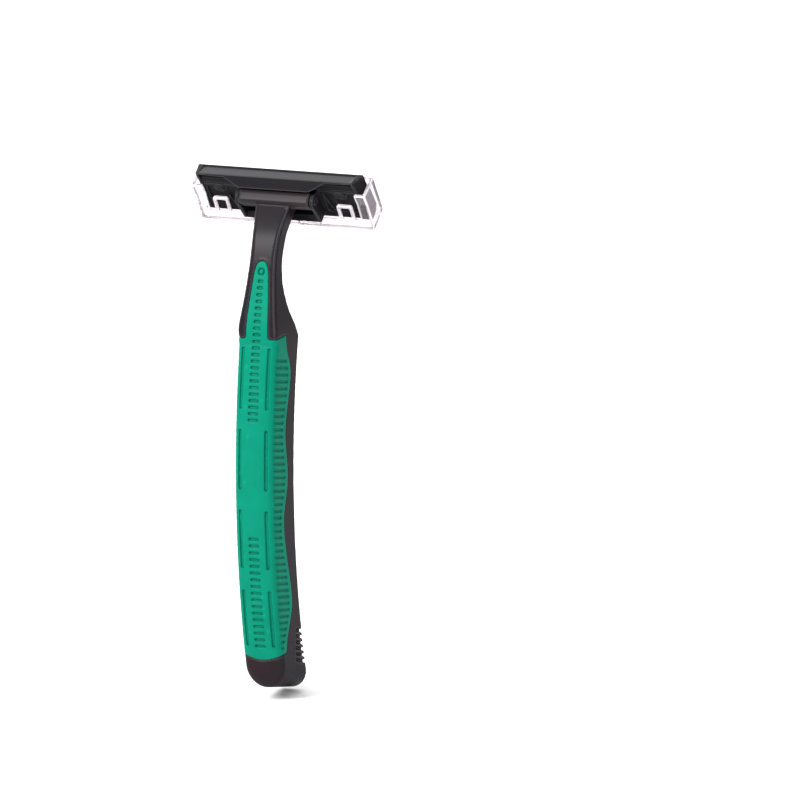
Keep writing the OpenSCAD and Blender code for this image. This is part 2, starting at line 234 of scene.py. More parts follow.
def mesh_object(name, verts, faces, place=None):
    """A smooth-shaded mesh object from vertices in mm and quads."""
    mesh = bpy.data.meshes.new(name)
    mesh.vertices.add(len(verts))
    mesh.vertices.foreach_set("co", np.asarray(verts, np.float32).ravel() * MM)
    mesh.loops.add(faces.size)
    mesh.loops.foreach_set("vertex_index", faces.ravel().astype(np.int32))
    mesh.polygons.add(len(faces))
    mesh.polygons.foreach_set("loop_start", np.arange(0, faces.size, faces.shape[1], dtype=np.int32))
    mesh.update(calc_edges=True)
    mesh.validate()
    mesh.polygons.foreach_set("use_smooth", np.ones(len(mesh.polygons), bool))
    if place is not None:
        mesh.transform(place)
    piece = bpy.data.objects.new(name, mesh)
    bpy.context.scene.collection.objects.link(piece)
    return piece


def mirrored_piece(name, make, lo, hi, step, place=None, faces=None):
    """Meshes a shape that is alike on both sides of X = 0. make(x, y, z) is called with x >= 0 only."""
    step = step * FINE
    half = int(math.ceil(hi[0] / step)) + 1
    x = (np.arange(half, dtype=np.float32) * step)[:, None, None]
    _, y, z = grid(lo, hi, step)
    field = make(x, y, z)
    field = np.broadcast_to(field, (half, y.size, z.size))
    field = np.concatenate([field[:0:-1], field], 0)
    verts, quads = surface_net(field, (-(half - 1) * step, lo[1], lo[2]), step)
    piece = mesh_object(name, verts, quads, place)
    if faces and len(quads) * 2 > faces:
        thin = piece.modifiers.new("thin", "DECIMATE")
        thin.ratio = faces / (len(quads) * 2)
        apply_modifiers(piece)
    return piece


def apply_modifiers(piece):
    """Replaces the piece's mesh by what its modifiers make of it."""
    graph = bpy.context.evaluated_depsgraph_get()
    mesh = bpy.data.meshes.new_from_object(piece.evaluated_get(graph))
    piece.modifiers.clear()
    piece.data = mesh
    mesh.polygons.foreach_set("use_smooth", np.ones(len(mesh.polygons), bool))


# ---------------------------------------------------------------- handle and grip
def arc_drop(r, z):
    """How far an arc of radius r has fallen away from its apex at height z."""
    return r - np.sqrt(r * r - (z - ARC_Z) ** 2)


class Side:
    """The body's side view at each sample height: depths of its front and back, half width, and slopes."""

    def __init__(self, z):
        low = z < SHOULDER_Z
        flat = np.clip(z, -3, SHOULDER_Z)
        self.front = np.where(low, FRONT_APEX - arc_drop(FRONT_R, flat), smooth_curve(NECK_FRONT, z)) + Y0
        self.back = np.where(low, BACK_APEX - arc_drop(BACK_R, flat), smooth_curve(NECK_BACK, z)) + Y0
        self.half = np.where(z < 84.8, HALF_W, smooth_curve(NECK_SIDE, z))
        step = z[0, 0, 1] - z[0, 0, 0]
        self.front_n, self.back_n, self.half_n = (
            1 / np.sqrt(1 + (np.gradient(c, step, axis=2)) ** 2)
            for c in (self.front, self.back, self.half))
        self.neck = ramp(z, SHOULDER_Z - 1.0, SHOULDER_Z + 5)
        self.wave = eased(GRIP_WAVE, z)


def body_half(side, y, z):
    """Half width, a little less at the open front, with a fine groove beside the neck's back rim."""
    draft = 0.12 * np.clip((y - side.front) / (side.back - side.front), 0, 1) - 0.08
    lip = ramp(z, SHOULDER_Z - 0.4, SHOULDER_Z + 0.3)
    groove = 0.22 * np.exp(-(((y - side.back + 0.95) / 0.2) ** 2))
    return side.half + draft * (1 - 0.5 * side.neck) - groove * lip


def skin(side, x, y, z, proud=0.0):
    """The outside of the body without its open front: back, sides and sloped round base."""
    half = body_half(side, y, z)
    above = (z - (y - foot_front()) * math.tan(BASE_SLOPE)) * math.cos(BASE_SLOPE)
    below = np.maximum(half - above, 0)
    sides = np.where(below > 0, np.sqrt(x * x + below * below) - half, (x - half) * side.half_n)
    lip = ramp(z, SHOULDER_Z - 0.4, SHOULDER_Z + 0.3)
    sunk = 0.24 * ramp(-x, -half + 0.32, -half + 0.62) * lip
    back = (y - side.back + sunk + CROWN * (x / HALF_W) ** 2 * (1 - side.neck)) * side.back_n
    corner = 1.45 - 1.13 * side.neck
    return both_round(sides, back, corner) - proud


def foot_front():
    """Depth of the body's front at z = 0."""
    return FRONT_APEX - arc_drop(FRONT_R, 0.0) + Y0


def grip_region(side, surface, x, y, z, grow=0.0):
    """Where the grip replaces the body's outer skin."""
    edge_fall = 1.3 * (1 - (x / HALF_W) ** 2)
    bottom = (GRIP_BOTTOM - edge_fall) - z
    main = both_round(both_round((side.back - side.wave) - y, bottom, 0.9), z - GRIP_TOP, 0.45)
    tongue = both(x - smooth_curve(TONGUE, z), z - TONGUE_TOP, SHOULDER_Z - 3 - z)
    tongue = both(tongue, (side.back - 3.0) - y)
    zone = either_round(main, tongue, 0.7) - grow
    return both(zone, -(surface + GRIP_T) - grow)


def channel(side, x, y, z):
    """The open bays in the front of the handle."""
    wall = side.half - SIDE_WALL - 0.1
    above = (z - (y - foot_front()) * math.tan(BASE_SLOPE)) * math.cos(BASE_SLOPE) - SIDE_WALL
    below = np.maximum(wall - above, 0)
    inner = np.where(below > 0, np.sqrt(x * x + below * below) - wall, x - wall)
    floor = y - (side.back - 2.45)
    top = z - CHANNEL_TOP
    taper = RIB - 0.17 * ramp(-z, -12, -8)
    rib = both(x - taper, (side.front + 0.45) - y)
    blob = np.sqrt(x * x + (y - side.front - 1.2) ** 2 + ((z - GATE_Z) / 1.3) ** 2) - 0.75
    bays = both_round(both_round(both_round(inner, floor, 0.4), top, 0.3), -either(rib, blob), 0.18)
    for zr in CROSS_RIBS:
        bays = both_round(bays, -both(np.abs(z - zr) - RIB, (side.front + 1.3) - y), 0.15)
    return bays


def neck_grooves(side, x, y, z):
    """Two deep grooves in the neck's front, with round lower ends."""
    wall = side.half - 1.1 + 0.3 * side.neck
    end_r = 1.78
    cx, cz = RIB + end_r, SHOULDER_Z + 0.75
    sides = both(x - wall, RIB - x)
    ends = np.where(z < cz, np.sqrt((x - cx) ** 2 + (z - cz) ** 2) - end_r, sides)
    depth = y - (side.back - 2.0 - 0.6 * (1 - side.neck))
    return both_round(both_round(ends, depth, 0.35), z - 114, 0.3)


def side_notches(side, x, y, z):
    """Finger grooves in each side wall near the base, rising from the front rim."""
    out = None
    for i in range(NOTCHES):
        zc = NOTCH_LOW + NOTCH_PITCH * i
        dy, dz = y - (FRONT_APEX - arc_drop(FRONT_R, zc) + Y0), z - zc
        along = dy * math.cos(NOTCH_RISE) + dz * math.sin(NOTCH_RISE)
        across = -dy * math.sin(NOTCH_RISE) + dz * math.cos(NOTCH_RISE)
        notch = both_round(np.abs(across) - 0.33, along - 6.0 + 0.4 * i, 0.15)
        out = notch if out is None else either(out, notch)
    return both(out, (side.half - 0.75) - x)


def tbar(x, y, z):
    """Bar with a flat back and round front, on trunnions."""
    dy, dz = y - PIVOT.y, z - PIVOT.z
    a = dy * math.cos(BAR_LEAN) + dz * math.sin(BAR_LEAN)
    b = -dy * math.sin(BAR_LEAN) + dz * math.cos(BAR_LEAN)
    block = both(np.abs(a + 0.475) - 2.525, np.abs(b + 0.05) - 1.7)
    bar = both_round(both_round(block, np.sqrt(dy * dy + dz * dz) - 2.35, 0.25), x - 8.9, 0.25)
    pin = both(np.sqrt(dy * dy + dz * dz) - PIN_R, x - 10.0)
    return either(bar, pin)


def handle_field(x, y, z):
    """The black moulding: body, neck and T-bar, without the grip's room and the open front."""
    side = Side(z)
    surface = skin(side, x, y, z)
    body = both_round(surface, (side.front - y) * side.front_n, 0.22)
    rim = (0.13 * np.exp(-(((x - smooth_curve(TONGUE, z) - 0.3) / 0.2) ** 2))
           * ramp(z, 92, 97) * (z < TONGUE_TOP))
    tip_z = TONGUE_TOP - 1.75
    tip = 0.13 * np.exp(-(((np.hypot(x, z - tip_z) - 2.05) / 0.2) ** 2)) * (z > tip_z)
    body = body - np.maximum(rim * (z <= tip_z), tip) * (y > side.back - 2)
    body = cut(body, grip_region(side, surface, x, y, z, 0.06), 0.08)
    body = cut(body, channel(side, x, y, z), 0.16)
    body = cut(body, neck_grooves(side, x, y, z), 0.2)
    body = cut(body, side_notches(side, x, y, z), 0.1)
    body = both(body, z - 116.6)
    return either_round(body, tbar(x, y, z), 0.25)


def rungs(x, z, z_low, pitch, count, half_low, half_high):
    """A ladder of short cross bars, in the plane of x and z."""
    n = np.clip(np.round((z - z_low) / pitch), 0, count - 1)
    half = half_low + (half_high - half_low) * n / (count - 1)
    return np.hypot(np.maximum(x - half + 0.3, 0), z - z_low - n * pitch) - 0.36


def grip_grooves(side, x, y, z, surface):
    """Everything sunk into the grip's surface: ladders, ring, long grooves and side ridges."""
    upper = rungs(x, z, *UPPER_LADDER)
    lower = rungs(x, z, *LOWER_LADDER)
    ring = np.abs(np.hypot(x, z - RING_Z) - RING_R) - 0.19
    marks = both(either(upper, lower, ring), -(surface + 0.38))
    longs = None
    for z0, z1 in LONG_GROOVES:
        reach = np.maximum(np.abs(z - (z0 + z1) / 2) - (z1 - z0) / 2 + 0.4, 0)
        slot = np.hypot(x - LONG_GROOVE_X, reach) - 0.4
        longs = slot if longs is None else either(longs, slot)
    longs = both(longs, -(surface + 0.42))
    slant = z - RIDGE_LEAN * (y - side.back)
    n = np.clip(np.round((slant - RIDGE_LOW) / RIDGE_PITCH), 0, RIDGES - 1)
    near, far = side.back - side.wave + 1.9, side.back - 1.75
    reach = np.maximum(np.abs(y - (near + far) / 2) - np.maximum((far - near) / 2, 0.05), 0)
    ridges = both(np.hypot(slant - RIDGE_LOW - n * RIDGE_PITCH, reach) - 0.33, -(surface + 0.3), 2.5 - x)
    return either(marks, longs, ridges)


def grip_field(x, y, z):
    """The green overmould."""
    side = Side(z)
    surface = skin(side, x, y, z, 0.05)
    body = both_round(surface, grip_region(side, surface + 0.05, x, y, z), 0.14)
    return cut(body, grip_grooves(side, x, y, z, surface), 0.1)


# ---------------------------------------------------------------- head
FACE_TOP, SEAM = 5.25, -5.25
HEAD_HALF, BAY_HALF = 21.0, 19.4
STRIP_HALF, STRIP_Z = 18.8, 2.15
LIP_Z = 0.6
BACK_Y = 3.9
POST_X, POST_Z, POST_R, BOSS_R = 15.3, 1.9, 0.8, 1.75
LIP_GAP_PITCH, LIP_GAP_HALF = 5.2, 0.95     # slots along the cap's lip
POCKET_RIBS = ((11.9, -0.3, 2.2), (13.5, 0.3, -1.0))    # place, lean and top of each slanted rib
BLADE_LEAN = math.radians(18)
UPPER_EDGE, LOWER_EDGE = (0.0, -3.2), (0.15, -4.95)
BLADE_W, BLADE_T, BLADE_HALF = 7.0, 0.1, 19.0
HINGE = (6.43, 1.92)        # trunnion axis in the head's frame
BORE_R, PIN_R = 0.95, 0.9
CHEEK_X, CHEEK_HALF = 9.5, 0.42


def along_blade(edge, distance, behind=0.0):
    """A point up a blade from its cutting edge, and behind its front face."""
    return (edge[0] + distance * math.sin(BLADE_LEAN) + behind * math.cos(BLADE_LEAN),
            edge[1] + distance * math.cos(BLADE_LEAN) - behind * math.sin(BLADE_LEAN))


def slab(flat, x, x0, x1, r=0.15):
    """A [y, z] shape drawn out from x0 to x1."""
    return both_round(flat, np.abs(x - (x0 + x1) / 2) - (x1 - x0) / 2, r)


def frame_field(x, y, z):
    """Lower half of the head: seat, guard, end walls, pockets, and the cheeks and shelf at the back."""
    seat = outline([along_blade(LOWER_EDGE, 1.3, 0.12), along_blade(LOWER_EDGE, BLADE_W, 0.12), (3.0, 3.0),
                    (BACK_Y, 3.0), (BACK_Y, SEAM - 0.1), (0.9, SEAM - 0.1)], y, z)
    guard = outline([(0.75, SEAM - 0.1), (0.75, SEAM - 0.75), (3.6, -6.4), (BACK_Y, -6.0),
                     (BACK_Y, SEAM - 0.1)], y, z)
    end = outline([(0.12, SEAM - 0.12), (0.75, -6.15), (3.5, -6.45), (BACK_Y, -6.0),
                   (BACK_Y, SEAM - 0.12)], y, z)
    body = either(slab(seat, x, -1, BAY_HALF - 0.1), slab(guard, x, -1, HEAD_HALF - 0.02))
    bevel = (x - HEAD_HALF) * 0.7 + (-5.4 - z) * 0.714
    ends = both_round(slab(end, x, BAY_HALF, HEAD_HALF, 0.12), bevel, 0.1)
    body = either(body, ends)
    pocket = slab(outline([(BACK_Y - 0.6, 2.2), (BACK_Y + 1, 2.2), (BACK_Y + 1, -3.9),
                           (BACK_Y - 0.6, -3.9)], y, z), x, 10.9, 18.6, 0.4)
    boss = both(np.hypot(x - POST_X, z - POST_Z) - BOSS_R, y - BACK_Y)
    pocket = both(pocket, -boss)
    for xr, lean, top in POCKET_RIBS:
        rib = both(np.abs(x - xr - lean * (z + 2.0)) - 0.2, z - top)
        pocket = both(pocket, -rib)
    body = cut(body, pocket, 0.15)
    cheek = either_round(outline([(BACK_Y - 0.3, -4.6), (BACK_Y - 0.3, 3.0), (6.3, 3.7), (8.2, 1.9),
                                  (7.8, -0.6), (7.2, -4.6)], y, z),
                         np.hypot(y - HINGE[0], z - HINGE[1]) - 1.85, 0.3)
    cheeks = slab(cheek, x, CHEEK_X - CHEEK_HALF, CHEEK_X + CHEEK_HALF, 0.2)
    shelf = slab(outline([(BACK_Y - 0.3, -3.2), (6.4, -3.2), (7.3, -4.4), (6.6, -4.8),
                          (BACK_Y - 0.3, -4.8)], y, z), x, -1, CHEEK_X - 0.3)
    body = either_round(body, either(cheeks, shelf), 0.25)
    bore = np.hypot(y - HINGE[0], z - HINGE[1]) - BORE_R
    return cut(body, both(bore, 8 - x), 0.1)


def guard_field(x, y, z):
    """The guard's strip, with a diamond knurl, a comb behind it and a line between."""
    flat = outline([(0.0, SEAM - 0.14), (0.08, -5.75), (0.45, -6.22), (1.2, -6.5), (3.5, -6.6), (3.6, -6.4),
                    (0.75, SEAM - 0.75), (0.75, SEAM - 0.14)], y, z)
    path = y - z                # runs down and back over the guard's face
    weave = np.sin((x + path * 0.9) * 9.5) * np.sin((x - path * 0.9) * 9.5)
    comb = ramp(y, 2.3, 2.6) * np.cos(x * 11.0)
    knurl = 0.045 * (weave * (1 - ramp(y, 2.3, 2.6)) + comb)
    line = 0.16 * np.exp(-(((y - 2.45) / 0.14) ** 2))
    return slab(flat, x, -1, HEAD_HALF - 1.9, 0.1) + knurl + line


def cap_field(x, y, z):
    """Upper half of the head: bar with a slotted lip, end walls, hood, and the staked posts."""
    lip = along_blade(UPPER_EDGE, (LIP_Z - UPPER_EDGE[1]) / math.cos(BLADE_LEAN), -0.02)
    bar = outline([(0, FACE_TOP), (0, LIP_Z), lip, (2.2, 3.6), (3.2, 3.6), (4.0, 3.4), (3.6, 4.95)], y, z)
    wall = outline([(0, FACE_TOP), (0, SEAM), (BACK_Y, SEAM), (4.0, 3.4), (4.5, 6.6), (4.1, 6.95)], y, z)
    body = either(slab(bar, x, -1, HEAD_HALF), slab(wall, x, BAY_HALF, HEAD_HALF))
    hood_shell = outline([(0.5, 5.15), (4.3, 7.1), (6.3, 5.1), (5.8, 4.7), (4.1, 6.3), (3.0, 5.6),
                          (2.6, 4.0), (0.7, 4.0)], y, z)
    skirt = outline([(-20, 0), (-20, 6.75), (-12.8, 6.6), (-8.6, 4.9), (8.6, 4.9), (12.8, 6.6),
                     (20, 6.75), (20, 0)], x, z)
    hood = cut(slab(hood_shell, x, -1, 20.2, 0.5), both(skirt, 4.25 - y), 0.12)
    body = either_round(body, hood, 0.2)
    slant = ((x - HEAD_HALF) + 0.25 * (y - 0.4)) * 0.97
    body = both_round(body, slant, 0.2)
    recess = both(np.abs(x) - STRIP_HALF, y - 0.6, STRIP_Z - z, z - FACE_TOP + 0.35)
    body = cut(body, recess, 0.06)
    n = np.clip(np.round(x / LIP_GAP_PITCH), 0, 3)
    gap = both(np.abs(x - n * LIP_GAP_PITCH) - LIP_GAP_HALF, np.abs(z - LIP_Z) - 0.42, y - 0.55)
    body = cut(body, gap, 0.1)
    post = both(np.hypot(x - POST_X, z - POST_Z) - POST_R, 1.0 - y, y - BACK_Y - 0.2)
    dome = np.sqrt((x - POST_X) ** 2 + (z - POST_Z) ** 2 + ((y - BACK_Y) * 2.2) ** 2) - 1.25
    dimple = np.sqrt((x - POST_X) ** 2 + (z - POST_Z) ** 2 + (y - BACK_Y - 0.75) ** 2) - 0.42
    stake = both(cut(dome, dimple, 0.1), BACK_Y + 0.02 - y)
    return either(body, post, stake)


def strip_field(x, y, z):
    """The lubricating strip."""
    flat = outline([(-0.1, STRIP_Z + 0.08), (-0.16, 3.4), (0.02, FACE_TOP - 0.4), (0.5, FACE_TOP - 0.4),
                    (0.5, STRIP_Z + 0.08)], y, z)
    return slab(flat, x, -1, STRIP_HALF - 0.05, 0.12)


def blade(name, edge):
    """A steel strip with a two-stage ground edge."""
    profile = [along_blade(edge, 0.0, 0.05), along_blade(edge, 0.22, 0.012), along_blade(edge, 0.75, 0.0),
               along_blade(edge, BLADE_W, 0.0), along_blade(edge, BLADE_W, BLADE_T),
               along_blade(edge, 0.75, BLADE_T), along_blade(edge, 0.22, BLADE_T - 0.012)]
    bm = bmesh.new()
    rings = [[bm.verts.new((s * BLADE_HALF * MM, y * MM, z * MM)) for y, z in profile] for s in (-1, 1)]
    count = len(profile)
    for i in range(count):
        k = (i + 1) % count
        bm.faces.new((rings[0][i], rings[0][k], rings[1][k], rings[1][i]))
    bm.faces.new(rings[0][::-1])
    bm.faces.new(rings[1])
    bmesh.ops.recalc_face_normals(bm, faces=bm.faces)
    mesh = bpy.data.meshes.new(name)
    bm.to_mesh(mesh)
    bm.free()
    mesh.transform(HEAD_FRAME)
    piece = bpy.data.objects.new(name, mesh)
    bpy.context.scene.collection.objects.link(piece)
    return piece


# ---------------------------------------------------------------- cover
COVER_FRONT, COVER_BASE, COVER_TOP, COVER_T = -1.7, -7.8, 2.6, 0.8
COVER_BACK, COVER_HEEL = 4.9, 6.0
COVER_TOE = (-0.6, -9.6)    # the front plate's lower edge
COVER_HALF = HEAD_HALF + 0.4 + COVER_T
TAB_X, TAB_HALF, TAB_TOP = 15.8, 2.0, -0.8
LOW_WALL, FLANGE = -5.05, 2.9


def cover_field(x, y, z):
    """A clear tray: front plate, end walls, and a back wall with end flanges, snap tabs, low middle."""
    toe_y, toe_z = COVER_TOE
    profile = [(COVER_FRONT, COVER_TOP), (COVER_BACK, COVER_TOP + 0.4), (COVER_BACK, 0.0),
               (COVER_HEEL, COVER_BASE), (toe_y + 0.5, toe_z), (toe_y, toe_z + 0.5)]
    hollow = [(COVER_FRONT + COVER_T - 0.66, 10), (COVER_BACK - COVER_T, 10), (COVER_BACK - COVER_T, 0.0),
              (COVER_HEEL - COVER_T, COVER_BASE + COVER_T - 0.2), (toe_y + COVER_T + 0.3, toe_z + COVER_T),
              (toe_y + COVER_T, toe_z + COVER_T + 0.3)]
    corner = (x - z - COVER_HALF + COVER_BASE + 0.2) * 0.707
    outer = both_round(both_round(outline(profile, y, z), x - COVER_HALF, 0.3), corner, 0.25)
    inner = both_round(both_round(outline(hollow, y, z), x - COVER_HALF + COVER_T, 0.2),
                       corner + COVER_T, 0.2)
    shell = cut(outer, inner, 0.15)
    above = LOW_WALL - z
    tab = both_round(np.abs(x - TAB_X) - TAB_HALF, z - TAB_TOP, 0.7)
    open_back = both_round(both_round(above, x - COVER_HALF + FLANGE, 0.3), -tab, 0.2)
    notch = both_round(np.abs(x - 5.9) - 3.1, LOW_WALL - 1.9 - z, 0.9)
    window = both_round(np.abs(x - TAB_X) - 1.2,
                        np.abs(z - (TAB_TOP - 0.8 + LOW_WALL + 0.1) / 2) - 1.7, 0.3)
    opening = both(either(open_back, notch, window), 2.6 - y)
    return cut(shell, opening, 0.22)


# ---------------------------------------------------------------- materials
def new_material(name, **sockets):
    """A material with one Principled shader, and its sockets set to plain values."""
    material = bpy.data.materials.new(name)
    material.use_nodes = True
    shader = material.node_tree.nodes["Principled BSDF"]
    for key, value in sockets.items():
        shader.inputs[key.replace("_", " ")].default_value = value
    return material, material.node_tree.nodes, material.node_tree.links, shader


def noise(nodes, links, scale, detail=3.0, rough=0.55, stretch=(1, 1, 1)):
    """A noise texture over the object's own coordinates, in metres."""
    coord = nodes.new("ShaderNodeTexCoord")
    mapping = nodes.new("ShaderNodeMapping")
    mapping.inputs["Scale"].default_value = stretch
    texture = nodes.new("ShaderNodeTexNoise")
    texture.inputs["Scale"].default_value = scale
    texture.inputs["Detail"].default_value = detail
    texture.inputs["Roughness"].default_value = rough
    links.new(coord.outputs["Object"], mapping.inputs["Vector"])
    links.new(mapping.outputs["Vector"], texture.inputs["Vector"])
    return texture


def ramp_node(nodes, links, source, stops):
    """A colour ramp of (position, value or colour) stops."""
    node = nodes.new("ShaderNodeValToRGB")
    node.color_ramp.elements[0].position, node.color_ramp.elements[1].position = stops[0][0], stops[-1][0]
    for position, _ in stops[1:-1]:
        node.color_ramp.elements.new(position)
    for element, (_, colour) in zip(node.color_ramp.elements, stops):
        element.color = (colour,) * 3 + (1,) if isinstance(colour, float) else (*colour, 1)
    links.new(source, node.inputs["Fac"])
    return node


def bump(nodes, links, shader, height, strength, distance):
    """Fine relief from a texture, without changing the mesh."""
    node = nodes.new("ShaderNodeBump")
    node.inputs["Strength"].default_value = strength
    node.inputs["Distance"].default_value = distance
    links.new(height, node.inputs["Height"])
    links.new(node.outputs["Normal"], shader.inputs["Normal"])


def paint_edge_highlight(nodes, links, base, highlight_colour, low=0.505, high=0.56):
    """The base colour with a painted highlight: paler where the surface turns over an edge."""
    geometry = nodes.new("ShaderNodeNewGeometry")
    mask = ramp_node(nodes, links, geometry.outputs["Pointiness"], [(low, 0.0), (high, 1.0)])
    mix = nodes.new("ShaderNodeMix")
    mix.data_type = "RGBA"
    links.new(mask.outputs["Color"], mix.inputs["Factor"])
    links.new(base, mix.inputs["A"])
    mix.inputs["B"].default_value = (*highlight_colour, 1)
    return mix.outputs["Result"]


def moulded_plastic(name, cool, warm, highlight_colour, rough=(0.3, 0.42), sheen_level=0.11, grain=0.25):
    """Black satin moulding, cooler and warmer in slow patches, with a fine sparkling grain and a painted
    highlight on its edges.
    """
    material, nodes, links, shader = new_material(name, Specular_IOR_Level=0.008, Coat_Weight=sheen_level,
                                                  Coat_Roughness=0.3)
    patches = noise(nodes, links, 45, 3.0)
    colour = ramp_node(nodes, links, patches.outputs["Fac"], [(0.35, cool), (0.65, warm)])
    # painted highlight: the base colour turns paler on the edges
    links.new(paint_edge_highlight(nodes, links, colour.outputs["Color"], highlight_colour), shader.inputs["Base Color"])
    speck = noise(nodes, links, 2600, 2.0, 0.7)
    gloss = ramp_node(nodes, links, speck.outputs["Fac"], [(0.35, rough[0]), (0.65, rough[1])])
    links.new(gloss.outputs["Color"], shader.inputs["Roughness"])
    bump(nodes, links, shader, speck.outputs["Fac"], grain, 0.00006)
    return material


def soft_rubber(name, deep, mid, pale):
    """Satin thermoplastic rubber with a faint mottle, painted shade in its hollows and a painted highlight
    on its edges.
    """
    material, nodes, links, shader = new_material(name, Specular_IOR_Level=0.008, Coat_Weight=0.08,
                                                  Coat_Roughness=0.42)
    cloud = noise(nodes, links, 220, 4.0)
    colour = ramp_node(nodes, links, cloud.outputs["Fac"], [(0.25, mid), (0.8, pale)])
    # painted shade: the deep colour is laid into the hollows, where shade falls
    geometry = nodes.new("ShaderNodeNewGeometry")
    hollow = ramp_node(nodes, links, geometry.outputs["Pointiness"], [(0.43, 0.0), (0.5, 1.0)])
    mix = nodes.new("ShaderNodeMix")
    mix.data_type = "RGBA"
    links.new(hollow.outputs["Color"], mix.inputs["Factor"])
    mix.inputs["A"].default_value = (*deep, 1)
    links.new(colour.outputs["Color"], mix.inputs["B"])
    # painted highlight: the edges are paler than the rubber
    links.new(paint_edge_highlight(nodes, links, mix.outputs["Result"], [c * 1.15 for c in pale], 0.52, 0.62),
              shader.inputs["Base Color"])
    speck = noise(nodes, links, 1500, 2.0, 0.6)
    gloss = ramp_node(nodes, links, speck.outputs["Fac"], [(0.3, 0.42), (0.7, 0.56)])
    links.new(gloss.outputs["Color"], shader.inputs["Roughness"])
    bump(nodes, links, shader, speck.outputs["Fac"], 0.2, 0.00006)
    return material


def waxy_strip(name, deep, pale):
    """Smooth waxy polymer with slow streaks along the strip."""
    material, nodes, links, shader = new_material(name, Specular_IOR_Level=0.5, Coat_Weight=0.3,
                                                  Coat_Roughness=0.12)
    cloud = noise(nodes, links, 90, 3.0, 0.5, (0.35, 1, 1))
    colour = ramp_node(nodes, links, cloud.outputs["Fac"], [(0.3, deep), (0.7, pale)])
    links.new(colour.outputs["Color"], shader.inputs["Base Color"])
    gloss = ramp_node(nodes, links, cloud.outputs["Fac"], [(0.3, 0.2), (0.7, 0.34)])
    links.new(gloss.outputs["Color"], shader.inputs["Roughness"])
    bump(nodes, links, shader, cloud.outputs["Fac"], 0.15, 0.0001)
    return material


def ground_steel(name, dark, light, rough):
    """Steel strip with fine lines along its length."""
    material, nodes, links, shader = new_material(name, Metallic=1.0)
    lines = noise(nodes, links, 900, 3.0, 0.6, (0.02, 1, 1))
    colour = ramp_node(nodes, links, lines.outputs["Fac"], [(0.3, dark), (0.7, light)])
    links.new(colour.outputs["Color"], shader.inputs["Base Color"])
    gloss = ramp_node(nodes, links, lines.outputs["Fac"], [(0.3, rough[0]), (0.7, rough[1])])
    links.new(gloss.outputs["Color"], shader.inputs["Roughness"])
    bump(nodes, links, shader, lines.outputs["Fac"], 0.1, 0.00003)
    return material


def clear_plastic(name):
    """Clear polystyrene, with a painted highlight: milky and pink where its edges turn over."""
    material, nodes, links, shader = new_material(name, IOR=1.3, Specular_IOR_Level=0.5)
    cloud = noise(nodes, links, 120, 3.0)
    colour = ramp_node(nodes, links, cloud.outputs["Fac"],
                       [(0.3, (0.9, 0.81, 0.87)), (0.7, (0.95, 0.89, 0.93))])
    links.new(colour.outputs["Color"], shader.inputs["Base Color"])
    # painted highlight: the edges transmit less, so they show as pale pink
    geometry = nodes.new("ShaderNodeNewGeometry")
    clear = ramp_node(nodes, links, geometry.outputs["Pointiness"], [(0.5, 0.95), (0.54, 0.4)])
    links.new(clear.outputs["Color"], shader.inputs["Transmission Weight"])
    gloss = ramp_node(nodes, links, cloud.outputs["Fac"], [(0.3, 0.03), (0.7, 0.08)])
    links.new(gloss.outputs["Color"], shader.inputs["Roughness"])
    bump(nodes, links, shader, cloud.outputs["Fac"], 0.05, 0.0002)
    return material


# the third colour of each moulding is the painted edge highlight
BLACK = moulded_plastic("black_moulding", (0.008, 0.009, 0.012), (0.018, 0.009, 0.011),
                        (0.04, 0.034, 0.037))
HEAD_BLACK = moulded_plastic("head_moulding", (0.009, 0.010, 0.013), (0.013, 0.011, 0.012),
                             (0.045, 0.045, 0.048), sheen_level=0.07)
GUARD_BLACK = moulded_plastic("guard_moulding", (0.012, 0.012, 0.014), (0.02, 0.018, 0.02),
                              (0.05, 0.05, 0.05), (0.4, 0.55))
# the first colour is painted shade for the grip's hollows
GREEN = soft_rubber("green_rubber", (0.0, 0.066, 0.042), (0.0, 0.155, 0.095), (0.0, 0.185, 0.115))
TURQUOISE = waxy_strip("turquoise_strip", (0.0, 0.66, 0.58), (0.01, 0.78, 0.69))
STEEL = ground_steel("blade_steel", (0.62, 0.63, 0.65), (0.85, 0.86, 0.88), (0.16, 0.3))
SPACER = ground_steel("spacer_steel", (0.3, 0.3, 0.31), (0.42, 0.42, 0.43), (0.35, 0.5))
CLEAR = clear_plastic("clear_plastic")


# ---------------------------------------------------------------- pieces
def add(piece, body, material, node):
    """Gives a piece its material, its body and the CAD node that it replaces."""
    piece.data.materials.clear()
    piece.data.materials.append(material)
    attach(piece, body)
    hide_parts(node)


y_near, y_far = Y0 - 10.5, Y0 + 14.0
handle = mirrored_piece("handle_moulding", handle_field, (0, y_near, -0.6), (10.4, y_far, 120.4), 0.275,
                        faces=190_000)
add(handle, "handle", BLACK, "handle")
grip = mirrored_piece("grip_overmould", grip_field, (0, Y0 - 3.0, 9.0), (5.8, y_far, 106.2), 0.18,
                      faces=190_000)
add(grip, "handle", GREEN, "grip")
guard_frame = mirrored_piece("guard_frame_moulding", frame_field, (0, -0.6, -7.2), (21.6, 9.4, 5.2), 0.14,
                             HEAD_FRAME, 150_000)
add(guard_frame, "head", HEAD_BLACK, "guard_frame")
guard = mirrored_piece("guard_strip_knurled", guard_field, (0, -0.5, -7.1), (19.6, 4.1, -4.9), 0.09,
                       HEAD_FRAME, 150_000)
add(guard, "head", GUARD_BLACK, "guard_strip")
cap = mirrored_piece("cap_moulding", cap_field, (0, -0.6, -5.9), (21.6, 8.2, 7.8), 0.14, HEAD_FRAME,
                     190_000)
add(cap, "head", HEAD_BLACK, "cap")
strip = mirrored_piece("lubricating_strip_bar", strip_field, (0, -0.6, 1.7), (19.3, 1.0, 5.6), 0.1,
                       HEAD_FRAME, 60_000)
add(strip, "head", TURQUOISE, "lubricating_strip")
